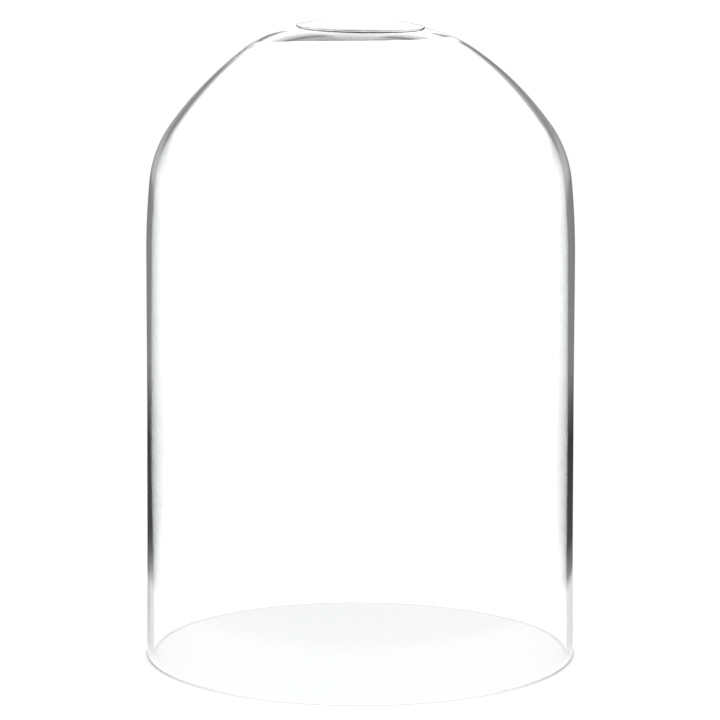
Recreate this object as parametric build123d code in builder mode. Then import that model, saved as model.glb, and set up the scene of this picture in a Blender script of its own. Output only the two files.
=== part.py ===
from build123d import *
import os

# Bell jar dome: a clear blown-glass cloche, open at the bottom, with a heavier disc of glass at its crown.
# Millimetres, +Z up. The origin is the centre of the flat ring that the rim stands on.
# Both sub-parts are solids of revolution about Z, drawn as half sections on the XZ plane.

# Overall
dome_height = 256.9  # rim to the tip of the crown disc
rim_radius = 86.0  # outside radius of the rim
wall = 2.25  # thickness of the wall, the shoulder and the haunch

# Outside of the shell, from the top of the wall to the crown: radius of each arc and its turn in degrees
spring_radius = 85.0
spring_height = 161.7
lean_radius = 286.2
lean_turn = 6.1
shoulder_radius = 44.7
shoulder_turn = 29.2
haunch_radius = 129.8
haunch_turn = 19.0

# Inside of the shell: the mouth is a true cylinder that a base's raised ring can enter, and the
# crown bends sooner inside than outside, so the glass thickens towards its middle
mouth_radius = rim_radius - wall
mouth_depth = 12.0
rim_chamfer = 0.4
crown_inner_radius = 38.0
crown_inner_turn = 90.0 - lean_turn - shoulder_turn - haunch_turn

# Crown disc, and the flat land of the shell that it is fused to
disc_radius = 25.4
disc_slope = 10.3
disc_edge_round = 0.35
tip_radius = 8.0
land_height = 251.7

UP = (0, 1)
DOWN = (0, -1)
OUTWARD = (1, 0)

os.makedirs("parts", exist_ok=True)

# Shell: ground rim, a wall that flares a little towards it, the shoulder's three arcs, a thickening crown
with BuildPart() as dome_shell:
    with BuildSketch(Plane.XZ) as shell_section:
        with BuildLine():
            outer_wall = TangentArc((spring_radius, spring_height), (rim_radius, 0), tangent=DOWN)
            outer_lean = JernArc(outer_wall @ 0, UP, lean_radius, lean_turn)
            outer_shoulder = JernArc(outer_lean @ 1, outer_lean % 1, shoulder_radius, shoulder_turn)
            outer_haunch = JernArc(outer_shoulder @ 1, outer_shoulder % 1, haunch_radius, haunch_turn)
            outer_crown = TangentArc(outer_haunch @ 1, (disc_radius, land_height), tangent=outer_haunch % 1)
            land = Line(outer_crown @ 1, (0, land_height))

            mouth = Line((mouth_radius, 0), (mouth_radius, mouth_depth))
            inner_wall = TangentArc((spring_radius - wall, spring_height), mouth @ 1, tangent=DOWN)
            inner_lean = JernArc(inner_wall @ 0, UP, lean_radius - wall, lean_turn)
            inner_shoulder = JernArc(inner_lean @ 1, inner_lean % 1, shoulder_radius - wall, shoulder_turn)
            inner_haunch = JernArc(inner_shoulder @ 1, inner_shoulder % 1, haunch_radius - wall, haunch_turn)
            inner_crown = JernArc(inner_haunch @ 1, inner_haunch % 1, crown_inner_radius, crown_inner_turn)
            ceiling = Line(inner_crown @ 1, (0, (inner_crown @ 1).Y))

            Line(land @ 1, ceiling @ 1)
            Line(mouth @ 0, outer_wall @ 1)
        make_face()
        chamfer(shell_section.vertices().group_by(Axis.Y)[0], rim_chamfer)
    revolve(axis=Axis.Z)
dome_shell.part.label = "dome_shell"
export_step(dome_shell.part, "parts/dome_shell.step")

# Crown disc: a shallow cone of glass with a rounded tip and a soft edge, standing on the land
with BuildPart() as crown_disc:
    with BuildSketch(Plane.XZ) as disc_section:
        with BuildLine():
            tip = JernArc((0, dome_height), OUTWARD, tip_radius, -disc_slope)
            cone = PolarLine(
                tip @ 1, disc_radius - (tip @ 1).X, direction=tip % 1, length_mode=LengthMode.HORIZONTAL
            )
            edge = Line(cone @ 1, (disc_radius, land_height))
            underside = Line(edge @ 1, (0, land_height))
            Line(underside @ 1, tip @ 0)
        make_face()
        fillet(disc_section.vertices().group_by(Axis.X)[-1].sort_by(Axis.Y)[-1], disc_edge_round)
    revolve(axis=Axis.Z)
crown_disc.part.label = "crown_disc"
export_step(crown_disc.part, "parts/crown_disc.step")
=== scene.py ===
import math

import bmesh
import bpy
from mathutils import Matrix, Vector


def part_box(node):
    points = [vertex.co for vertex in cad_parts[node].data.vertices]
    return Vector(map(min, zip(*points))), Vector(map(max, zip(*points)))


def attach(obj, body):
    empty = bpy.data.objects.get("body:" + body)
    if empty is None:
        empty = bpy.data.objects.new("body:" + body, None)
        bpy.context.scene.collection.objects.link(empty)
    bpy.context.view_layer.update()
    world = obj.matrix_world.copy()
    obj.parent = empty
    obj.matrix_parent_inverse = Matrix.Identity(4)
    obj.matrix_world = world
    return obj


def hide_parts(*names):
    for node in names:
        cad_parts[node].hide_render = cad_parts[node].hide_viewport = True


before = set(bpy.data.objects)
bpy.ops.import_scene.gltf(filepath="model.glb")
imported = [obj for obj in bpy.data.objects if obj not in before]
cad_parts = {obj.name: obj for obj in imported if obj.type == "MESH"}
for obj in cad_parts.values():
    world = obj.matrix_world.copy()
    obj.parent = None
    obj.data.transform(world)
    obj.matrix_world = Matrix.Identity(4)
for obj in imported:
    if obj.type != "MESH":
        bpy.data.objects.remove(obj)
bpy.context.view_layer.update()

MM = 0.001

# Sizes that the frame fixes
shell_low, shell_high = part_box("dome_shell")
disc_low, disc_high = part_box("crown_disc")
DOME_HEIGHT = disc_high.z
LAND_HEIGHT = shell_high.z
RIM_RADIUS = (shell_high.x - shell_low.x) / 2
DISC_RADIUS = (disc_high.x - disc_low.x) / 2

# The section's own proportions, as in the CAD, which is drawn with a rim of this radius
DRAWN_RIM_RADIUS = 86 * MM
SCALE = RIM_RADIUS / DRAWN_RIM_RADIUS
WALL = 2.25 * MM * SCALE
SPRING_RADIUS = 85.0 * MM * SCALE
SPRING_HEIGHT = 161.7 * MM * SCALE
SHOULDER_ARCS = (
    (286.2, 6.1, 8),
    (44.7, 29.2, 34),
    (129.8, 19.0, 26),
)  # radius in mm, turn in degrees and steps of each outside arc above the spring line
CROWN_INNER_RADIUS = 38.0 * MM * SCALE
DISC_SLOPE = 10.3  # degrees
TIP_RADIUS = 8.0 * MM * SCALE

# Softer edges than the CAD's, and the air gap that shows as a line round the disc's foot
RIM_ROUND = 0.4 * MM * SCALE
DISC_EDGE_ROUND = 0.55 * MM * SCALE
DISC_FOOT_ROUND = 0.04 * MM * SCALE
SEAM = 0.03 * MM

# Mesh: points round each ring, and steps along each stretch of the section
SEGMENTS = 288
WALL_STEPS = 34
CROWN_INNER_STEPS = 64
CEILING_STEPS = 20
CROWN_OUTER_STEPS = 40
LAND_STEPS = 6
RIM_STEPS = 6
UNDERSIDE_STEPS = 6
FOOT_STEPS = 6
EDGE_STEPS = 8
CONE_STEPS = 18
TIP_STEPS = 8

# Blown-glass irregularity. Heights are in parts of the dome's height
LEAN = 0.25 * MM  # of the crown to one side
LEAN_RISE = (0.0, 0.7)
OVAL = 0.10 * MM
OVAL_TURN = 0.7
RIPPLE = 0.05 * MM
RIPPLES_ROUND = 3
RIPPLE_TWIST = 9
RIPPLES_UP = 17
RIPPLE_SWAY = 1.3
CORE_SHIFT = 0.24 * MM  # of the inside surface off centre
CORE_SWAY = 0.4
CORE_BEND = 5
THINNING = 0.25 * MM  # of the wall low down, and its thickening at the shoulder
THIN_TO_THICK = (0.3, 0.8)
FREE_RISE = (0.0, 0.3)  # the rim stays true, and above it the surface wanders
FREE_RADII = (0.5, 0.9)  # the crown's middle stays true as well, in parts of the rim's radius
DISC_TILT = 1.0  # degrees
TILT_RISE = (0.8, 0.97)
TILT_RADII = (1.1, 2.6)  # where the shell takes up the disc's tilt, in parts of the disc's radius


# ---------------------------------------------------------------- section
def arc(points, heading, radius, turn, steps):
    """Adds an arc that starts at the last point along heading, and returns its last heading."""
    x, z = points[-1]
    cx = x + radius * math.cos(heading + math.pi / 2)
    cz = z + radius * math.sin(heading + math.pi / 2)
    for i in range(1, steps + 1):
        a = heading - math.pi / 2 + turn * i / steps
        points.append((cx + radius * math.cos(a), cz + radius * math.sin(a)))
    return heading + turn


def rounded(before, corner, after, radius, steps):
    """Points of the fillet at a corner."""
    u = (Vector(before) - Vector(corner)).normalized()
    v = (Vector(after) - Vector(corner)).normalized()
    half = math.acos(u.dot(v)) / 2
    centre = Vector(corner) + (u + v).normalized() * radius / math.sin(half)
    first = Vector(corner) + u * radius / math.tan(half) - centre
    last = Vector(corner) + v * radius / math.tan(half) - centre
    a = math.atan2(first.y, first.x)
    sweep = (math.atan2(last.y, last.x) - a + math.pi) % (2 * math.pi) - math.pi
    turns = [a + sweep * i / steps for i in range(steps + 1)]
    return [(centre.x + radius * math.cos(t), centre.y + radius * math.sin(t)) for t in turns]


def wall_and_shoulder(inset):
    """The section from the rim up through the haunch, inset from the outside, and its heading."""
    rim, spring = RIM_RADIUS - inset, SPRING_RADIUS - inset
    points = []
    for i in range(WALL_STEPS + 1):
        z = RIM_ROUND + (SPRING_HEIGHT - RIM_ROUND) * i / WALL_STEPS
        points.append((spring + (rim - spring) * (1 - z / SPRING_HEIGHT) ** 2, z))
    heading = math.pi / 2
    for radius, turn, steps in SHOULDER_ARCS:
        heading = arc(points, heading, radius * MM * SCALE - inset, math.radians(turn), steps)
    return points, heading


def shell_section():
    """The shell's section in three runs.

    They go from the middle of its ceiling down inside, round the rim, and up outside to the land.
    """
    inside, heading = wall_and_shoulder(WALL)
    arc(inside, heading, CROWN_INNER_RADIUS, math.pi - heading, CROWN_INNER_STEPS)
    edge, ceiling = inside[-1]
    inside += [(edge * (1 - i / CEILING_STEPS), ceiling) for i in range(1, CEILING_STEPS + 1)]
    outside, heading = wall_and_shoulder(0)
    foot = Vector((DISC_RADIUS, LAND_HEIGHT))
    chord = foot - Vector(outside[-1])
    turn = 2 * (math.atan2(chord.y, chord.x) - heading)
    arc(outside, heading, chord.length / (2 * math.sin(turn / 2)), turn, CROWN_OUTER_STEPS)
    inner_foot = (inside[0][0], 0.0)
    outer_foot = (outside[0][0], 0.0)
    rim = rounded(inside[0], inner_foot, outer_foot, RIM_ROUND, RIM_STEPS)[1:]
    rim += rounded(inner_foot, outer_foot, outside[0], RIM_ROUND, RIM_STEPS)[:-1]
    outside += [(DISC_RADIUS * (1 - i / LAND_STEPS), LAND_HEIGHT) for i in range(1, LAND_STEPS + 1)]
    return inside[::-1], rim, outside


def disc_section():
    """The disc's section from the middle of its underside, round its edge and up to the tip."""
    slope = math.radians(DISC_SLOPE)
    shoulder = (TIP_RADIUS * math.sin(slope), DOME_HEIGHT - TIP_RADIUS * (1 - math.cos(slope)))
    corner = (DISC_RADIUS, shoulder[1] - (DISC_RADIUS - shoulder[0]) * math.tan(slope))
    middle = (0.0, LAND_HEIGHT + SEAM)
    foot = (DISC_RADIUS, LAND_HEIGHT + SEAM)
    edge = rounded(middle, foot, corner, DISC_FOOT_ROUND, FOOT_STEPS)
    edge += rounded(foot, corner, shoulder, DISC_EDGE_ROUND, EDGE_STEPS)
    points = [
        tuple(Vector(middle).lerp(Vector(edge[0]), i / UNDERSIDE_STEPS))
        for i in range(UNDERSIDE_STEPS)
    ]
    points += edge
    points += [
        tuple(Vector(edge[-1]).lerp(Vector(shoulder), i / CONE_STEPS))
        for i in range(1, CONE_STEPS + 1)
    ]
    for i in range(1, TIP_STEPS + 1):
        a = slope * (1 - i / TIP_STEPS)
        points.append((TIP_RADIUS * math.sin(a), DOME_HEIGHT - TIP_RADIUS * (1 - math.cos(a))))
    return points


# ---------------------------------------------------------------- blown-glass surfaces
def smooth(x, a, b):
    """A smooth step from 0 to 1 as x goes from a to b."""
    t = min(1.0, max(0.0, (x - a) / (b - a)))
    return t * t * (3 - 2 * t)


def blown(r, turn, z, inside):
    """The place of a surface point on a hand-blown dome, tenths of a millimetre off true."""
    up = z / DOME_HEIGHT
    free = smooth(up, *FREE_RISE) * smooth(r / RIM_RADIUS, *FREE_RADII)
    if inside:
        r += free * THINNING * (1 - 2 * smooth(up, *THIN_TO_THICK))
    r += free * OVAL * math.cos(2 * turn + OVAL_TURN)
    round_wave = math.sin(RIPPLES_ROUND * turn + RIPPLE_TWIST * up)
    r += free * RIPPLE * round_wave * math.sin(RIPPLES_UP * up + RIPPLE_SWAY * math.cos(turn))
    x, y = r * math.cos(turn), r * math.sin(turn)
    x += LEAN * smooth(up, *LEAN_RISE)
    if inside:
        x -= CORE_SHIFT * free
        y += CORE_SWAY * CORE_SHIFT * free * math.sin(CORE_BEND * up)
    else:
        tilted = (1 - smooth(r / DISC_RADIUS, *TILT_RADII)) * smooth(up, *TILT_RISE)
        z -= x * math.tan(math.radians(DISC_TILT)) * tilted
    return x, y, z


def casts_nothing(obj):
    """Keeps an object from shading or tinting the table."""
    obj.visible_shadow = False
    obj.visible_diffuse = False


def revolve(name, rows, material):
    """One object from rows of (r, z, inside), with a single vertex where a row is on the axis."""
    mesh = bpy.data.meshes.new(name)
    bm = bmesh.new()
    rings = []
    for r, z, inside in rows:
        if r < 1e-7:
            rings.append([bm.verts.new(blown(0.0, 0.0, z, inside))])
        else:
            turns = [2 * math.pi * k / SEGMENTS for k in range(SEGMENTS)]
            rings.append([bm.verts.new(blown(r, t, z, inside)) for t in turns])
    for a, b in zip(rings, rings[1:]):
        for k in range(SEGMENTS):
            n = (k + 1) % SEGMENTS
            if len(a) == 1:
                bm.faces.new((a[0], b[n], b[k]))
            elif len(b) == 1:
                bm.faces.new((a[k], a[n], b[0]))
            else:
                bm.faces.new((a[k], a[n], b[n], b[k]))
    for face in bm.faces:
        face.smooth = True
    bm.to_mesh(mesh)
    bm.free()
    obj = bpy.data.objects.new(name, mesh)
    bpy.context.scene.collection.objects.link(obj)
    mesh.materials.append(material)
    casts_nothing(obj)
    return obj


# ---------------------------------------------------------------- materials
GLASS_IOR = 1.5
UPRIGHT_STRETCH = (1.0, 1.0, 0.35)  # the tint and the waves run long up the wall
CLOUD_SCALE = 14.0
CLOUD_DETAIL = 2.0
TINT_SPAN = (0.35, 0.65)  # of the cloud, from the darker tint to the lighter one
HAZE_SPAN = (0.45, 0.8)  # of the cloud, from none to most
HAZE = 0.012
WAVE_SCALE = 26.0
WAVE_DETAIL = 1.0


def new_material(name):
    """A material with its nodes and links."""
    material = bpy.data.materials.new(name)
    material.use_nodes = True
    return material, material.node_tree.nodes, material.node_tree.links


def glass(name, tint, dark_tint, ripple):
    """Clear soda-lime glass: a faint uneven tint, a trace of haze and long shallow waves."""
    material, nodes, links = new_material(name)
    shader = nodes["Principled BSDF"]
    shader.inputs["Transmission Weight"].default_value = 1.0
    shader.inputs["IOR"].default_value = GLASS_IOR
    place = nodes.new("ShaderNodeTexCoord")
    stretch = nodes.new("ShaderNodeMapping")
    stretch.inputs["Scale"].default_value = UPRIGHT_STRETCH
    links.new(place.outputs["Object"], stretch.inputs["Vector"])

    cloud = nodes.new("ShaderNodeTexNoise")
    cloud.inputs["Scale"].default_value = CLOUD_SCALE
    cloud.inputs["Detail"].default_value = CLOUD_DETAIL
    links.new(stretch.outputs["Vector"], cloud.inputs["Vector"])
    tints = nodes.new("ShaderNodeValToRGB")
    for element, at, colour in zip(tints.color_ramp.elements, TINT_SPAN, (dark_tint, tint)):
        element.position = at
        element.color = (*colour, 1.0)
    links.new(cloud.outputs["Fac"], tints.inputs["Fac"])
    links.new(tints.outputs["Color"], shader.inputs["Base Color"])

    haze = nodes.new("ShaderNodeMapRange")
    haze.inputs["From Min"].default_value = HAZE_SPAN[0]
    haze.inputs["From Max"].default_value = HAZE_SPAN[1]
    haze.inputs["To Min"].default_value = 0.0
    haze.inputs["To Max"].default_value = HAZE
    links.new(cloud.outputs["Fac"], haze.inputs["Value"])
    links.new(haze.outputs["Result"], shader.inputs["Roughness"])

    waves = nodes.new("ShaderNodeTexNoise")
    waves.inputs["Scale"].default_value = WAVE_SCALE
    waves.inputs["Detail"].default_value = WAVE_DETAIL
    links.new(stretch.outputs["Vector"], waves.inputs["Vector"])
    bump = nodes.new("ShaderNodeBump")
    bump.inputs["Strength"].default_value = 1.0
    bump.inputs["Distance"].default_value = ripple
    links.new(waves.outputs["Fac"], bump.inputs["Height"])
    links.new(bump.outputs["Normal"], shader.inputs["Normal"])
    return material


shell_glass = glass("shell_glass", (0.995, 0.998, 0.997), (0.985, 0.992, 0.990), 0.02 * MM)
crown_glass = glass("crown_glass", (0.992, 0.996, 0.995), (0.980, 0.988, 0.986), 0.01 * MM)

inside, rim, outside = shell_section()
rows = [(r, z, True) for r, z in inside] + [(r, z, False) for r, z in rim + outside]
shell = revolve("shell_clear", rows, shell_glass)
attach(shell, "root")
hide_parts("dome_shell")

disc = revolve("crown_clear", [(r, z, False) for r, z in disc_section()], crown_glass)
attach(disc, "root")
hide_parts("crown_disc")

# ---------------------------------------------------------------- studio
WHITE = 1.02  # light of the table and the world, where 1 is white
STRAIGHT = 1.75  # backdrop seen through the glass, which loses some light at each surface

# The tent's light that the glass mirrors, by the sine of its elevation
SKY = (
    (0.0, 0.50),
    (0.06, 0.45),
    (0.10, 0.25),
    (0.15, 0.25),
    (0.19, 0.60),
    (0.24, 1.0),
    (0.34, 4.0),
    (0.43, 4.0),
    (0.49, 3.2),
    (0.53, 3.2),
    (0.56, 1.7),
    (0.60, 1.7),
    (0.63, 3.2),
    (1.0, 3.2),
)
SKY_BRIGHTEST = 4.0
TENT_RADIUS = 20.0
TENT_SUBDIVISIONS = 4

# A softbox on the tent, straight behind the object
BOX_EDGE = (3.5, 7.0)  # degrees to either side, over which it ends
BOX_FOOT = (-0.02, 0.03)  # sines of the elevations, over which it begins
BOX_RISE = (0.07, 0.14)  # sines of the elevations, over which it brightens from BOX_DIM
BOX_DIM = 0.75

# The table's light that the glass mirrors, by metres from the middle
FLOOR = (
    (0.0, 0.86),
    (0.172, 0.84),
    (0.192, 0.26),
    (0.255, 0.07),
    (0.514, 0.045),
    (0.63, 0.12),
    (0.757, 0.24),
    (2.2, 0.27),
    (2.9, 0.50),
    (3.5, 0.50),
)
FLOOR_REACH = 3.5
TABLE_REACH = 12.0
TABLE_LEVEL = -0.05 * MM
CARD_LEVEL = 0.1 * MM
CARD_GAP = 1.5 * WALL  # between the rim and the card
CARD_SIDES = 96

# The table's light inside the rim and right under it, dimmed there by painted shade (faint inside,
# a painted contact shadow under the rim), and where each gives way, from the rim
INSIDE_RIM_PAINTED_SHADE = 1.005
UNDER_RIM_PAINTED_SHADOW = 0.70
INNER_SHADE = (-1.5 * WALL, -0.8 * WALL)
OUTER_SHADE = (0.0, 0.5 * WALL)


def feed(links, socket, term):
    """Sets a socket to a number, or links it to another socket."""
    if isinstance(term, (int, float)):
        socket.default_value = term
    else:
        links.new(term, socket)


def value(nodes, links, operation, *terms):
    """A Math node on numbers and sockets."""
    node = nodes.new("ShaderNodeMath")
    node.operation = operation
    for socket, term in zip(node.inputs, terms):
        feed(links, socket, term)
    return node.outputs["Value"]


def fade(nodes, links, source, span, low, high):
    """A smooth step from low to high as source goes through the span."""
    node = nodes.new("ShaderNodeMapRange")
    node.interpolation_type = "SMOOTHSTEP"
    links.new(source, node.inputs["Value"])
    node.inputs["From Min"].default_value, node.inputs["From Max"].default_value = span
    node.inputs["To Min"].default_value = low
    node.inputs["To Max"].default_value = high
    return node.outputs["Result"]


def blend(nodes, links, factor, a, b):
    """a where factor is 0 and b where it is 1."""
    node = nodes.new("ShaderNodeMix")
    node.data_type = "FLOAT"
    for name, term in (("Factor", factor), ("A", a), ("B", b)):
        feed(links, node.inputs[name], term)
    return node.outputs["Result"]


def ramp(nodes, links, source, stops):
    """A colour ramp of greys through the stops."""
    node = nodes.new("ShaderNodeValToRGB")
    elements = node.color_ramp.elements
    elements[0].position, elements[1].position = stops[0][0], stops[-1][0]
    for at, grey in stops[1:-1]:
        elements.new(at)
    for element, (at, grey) in zip(elements, stops):
        element.color = (grey, grey, grey, 1.0)
    links.new(source, node.inputs["Fac"])
    return node.outputs["Color"]


def from_middle(nodes, links):
    """Metres from the object's axis."""
    place = nodes.new("ShaderNodeTexCoord")
    axes = nodes.new("ShaderNodeSeparateXYZ")
    links.new(place.outputs["Object"], axes.inputs["Vector"])
    x, y = axes.outputs["X"], axes.outputs["Y"]
    squares = value(nodes, links, "MULTIPLY", x, x)
    squares = value(nodes, links, "MULTIPLY_ADD", y, y, squares)
    return value(nodes, links, "SQRT", squares)


def mirrored(nodes, links):
    """1 for a ray that the glass has mirrored an odd number of times, and 0 for the others.

    Each mirroring adds one to a ray's depth, and each pass through the glass adds two.
    """
    path = nodes.new("ShaderNodeLightPath")
    return value(nodes, links, "MODULO", path.outputs["Ray Depth"], 2.0)


def lit(name):
    """A material that only gives light, with its emission node, nodes and links."""
    material, nodes, links = new_material(name)
    nodes.remove(nodes["Principled BSDF"])
    light = nodes.new("ShaderNodeEmission")
    links.new(light.outputs["Emission"], nodes["Material Output"].inputs["Surface"])
    return material, light, nodes, links


def stage_object(name, mesh, material):
    """A stage object of one material."""
    mesh.materials.append(material)
    obj = bpy.data.objects.new(name, mesh)
    bpy.context.scene.collection.objects.link(obj)
    return obj


def unseen(obj):
    """Lets a stage object show in the glass only."""
    obj.visible_camera = False
    casts_nothing(obj)


# Table: a lit white top that is clear from below, with faint painted shade inside the rim and a
# line of shade painted under the rim
table_paint, light, nodes, links = lit("lit_table")
out = from_middle(nodes, links)
inner_span = [RIM_RADIUS + offset for offset in INNER_SHADE]
outer_span = [RIM_RADIUS + offset for offset in OUTER_SHADE]
# painted shade: slightly darker inside the rim, and a painted contact shadow right under it
painted_rim_shade = fade(nodes, links, out, inner_span, INSIDE_RIM_PAINTED_SHADE, UNDER_RIM_PAINTED_SHADOW)
outer = fade(nodes, links, out, outer_span, 0.0, 1.0)
links.new(blend(nodes, links, outer, painted_rim_shade, WHITE), light.inputs["Strength"])
clear = nodes.new("ShaderNodeBsdfTransparent")
both = nodes.new("ShaderNodeMixShader")
side = nodes.new("ShaderNodeNewGeometry")
links.new(side.outputs["Backfacing"], both.inputs["Fac"])
links.new(light.outputs["Emission"], both.inputs[1])
links.new(clear.outputs["BSDF"], both.inputs[2])
links.new(both.outputs["Shader"], nodes["Material Output"].inputs["Surface"])
corners = ((-1, -1), (1, -1), (1, 1), (-1, 1))
table_mesh = bpy.data.meshes.new("table")
table_mesh.from_pydata(
    [(x * TABLE_REACH, y * TABLE_REACH, TABLE_LEVEL) for x, y in corners], [], [(0, 1, 2, 3)]
)
stage_object("table", table_mesh, table_paint)

# Tent: a bright backdrop to what passes through the glass, and greys to what the glass mirrors
tent_cloth, light, nodes, links = lit("tent_cloth")
place = nodes.new("ShaderNodeTexCoord")
unit = nodes.new("ShaderNodeVectorMath")
unit.operation = "NORMALIZE"
links.new(place.outputs["Object"], unit.inputs[0])
axes = nodes.new("ShaderNodeSeparateXYZ")
links.new(unit.outputs["Vector"], axes.inputs["Vector"])
sine = axes.outputs["Z"]
sky = ramp(nodes, links, sine, [(at, grey / SKY_BRIGHTEST) for at, grey in SKY])
sky = value(nodes, links, "MULTIPLY", sky, SKY_BRIGHTEST)
bearing = value(nodes, links, "ARCTAN2", axes.outputs["X"], axes.outputs["Y"])
bearing = value(nodes, links, "ABSOLUTE", bearing)
box_edge = [math.radians(edge) for edge in BOX_EDGE]
box = fade(nodes, links, bearing, box_edge, 1.0, 0.0)
box = value(nodes, links, "MULTIPLY", box, fade(nodes, links, sine, BOX_FOOT, 0.0, 1.0))
box_light = fade(nodes, links, sine, BOX_RISE, BOX_DIM, SKY_BRIGHTEST)
sky = blend(nodes, links, box, sky, box_light)
links.new(blend(nodes, links, mirrored(nodes, links), STRAIGHT, sky), light.inputs["Strength"])
bm = bmesh.new()
bmesh.ops.create_icosphere(bm, subdivisions=TENT_SUBDIVISIONS, radius=TENT_RADIUS)
tent_mesh = bpy.data.meshes.new("tent")
bm.to_mesh(tent_mesh)
bm.free()
unseen(stage_object("tent", tent_mesh, tent_cloth))

# Flag: a card round the object on the table, the same to the glass as the tent is
flag_card, light, nodes, links = lit("flag_card")
out = value(nodes, links, "DIVIDE", from_middle(nodes, links), FLOOR_REACH)
shade = ramp(nodes, links, out, [(at / FLOOR_REACH, grey) for at, grey in FLOOR])
links.new(blend(nodes, links, mirrored(nodes, links), STRAIGHT, shade), light.inputs["Strength"])
turns = [2 * math.pi * k / CARD_SIDES for k in range(CARD_SIDES)]
following = [(k + 1) % CARD_SIDES for k in range(CARD_SIDES)]
flag_mesh = bpy.data.meshes.new("flag")
flag_mesh.from_pydata(
    [
        (r * math.cos(t), r * math.sin(t), CARD_LEVEL)
        for r in (RIM_RADIUS + CARD_GAP, TABLE_REACH)
        for t in turns
    ],
    [],
    [(k, CARD_SIDES + k, CARD_SIDES + n, n) for k, n in enumerate(following)],
)
unseen(stage_object("flag", flag_mesh, flag_card))

world = bpy.data.worlds.new("studio")
world.use_nodes = True
background = world.node_tree.nodes["Background"]
background.inputs["Color"].default_value = (1.0, 1.0, 1.0, 1.0)
background.inputs["Strength"].default_value = WHITE
bpy.context.scene.world = world
bpy.context.scene.view_settings.view_transform = "Standard"

# ---------------------------------------------------------------- camera
CAMERA_DISTANCE = 1.400
CAMERA_HEIGHT = 0.3509
AIM_HEIGHT = 0.1191
LENS = 177.67
SENSOR_WIDTH = 36.0
CLIP = (0.01, 100.0)
camera_data = bpy.data.cameras.new("camera")
camera_data.lens = LENS
camera_data.sensor_width = SENSOR_WIDTH
camera_data.clip_start, camera_data.clip_end = CLIP
camera = bpy.data.objects.new("camera", camera_data)
bpy.context.scene.collection.objects.link(camera)
camera.location = (0.0, -CAMERA_DISTANCE, CAMERA_HEIGHT)
view = Vector((0.0, 0.0, AIM_HEIGHT)) - camera.location
camera.rotation_euler = view.to_track_quat("-Z", "Y").to_euler()
bpy.context.scene.camera = camera
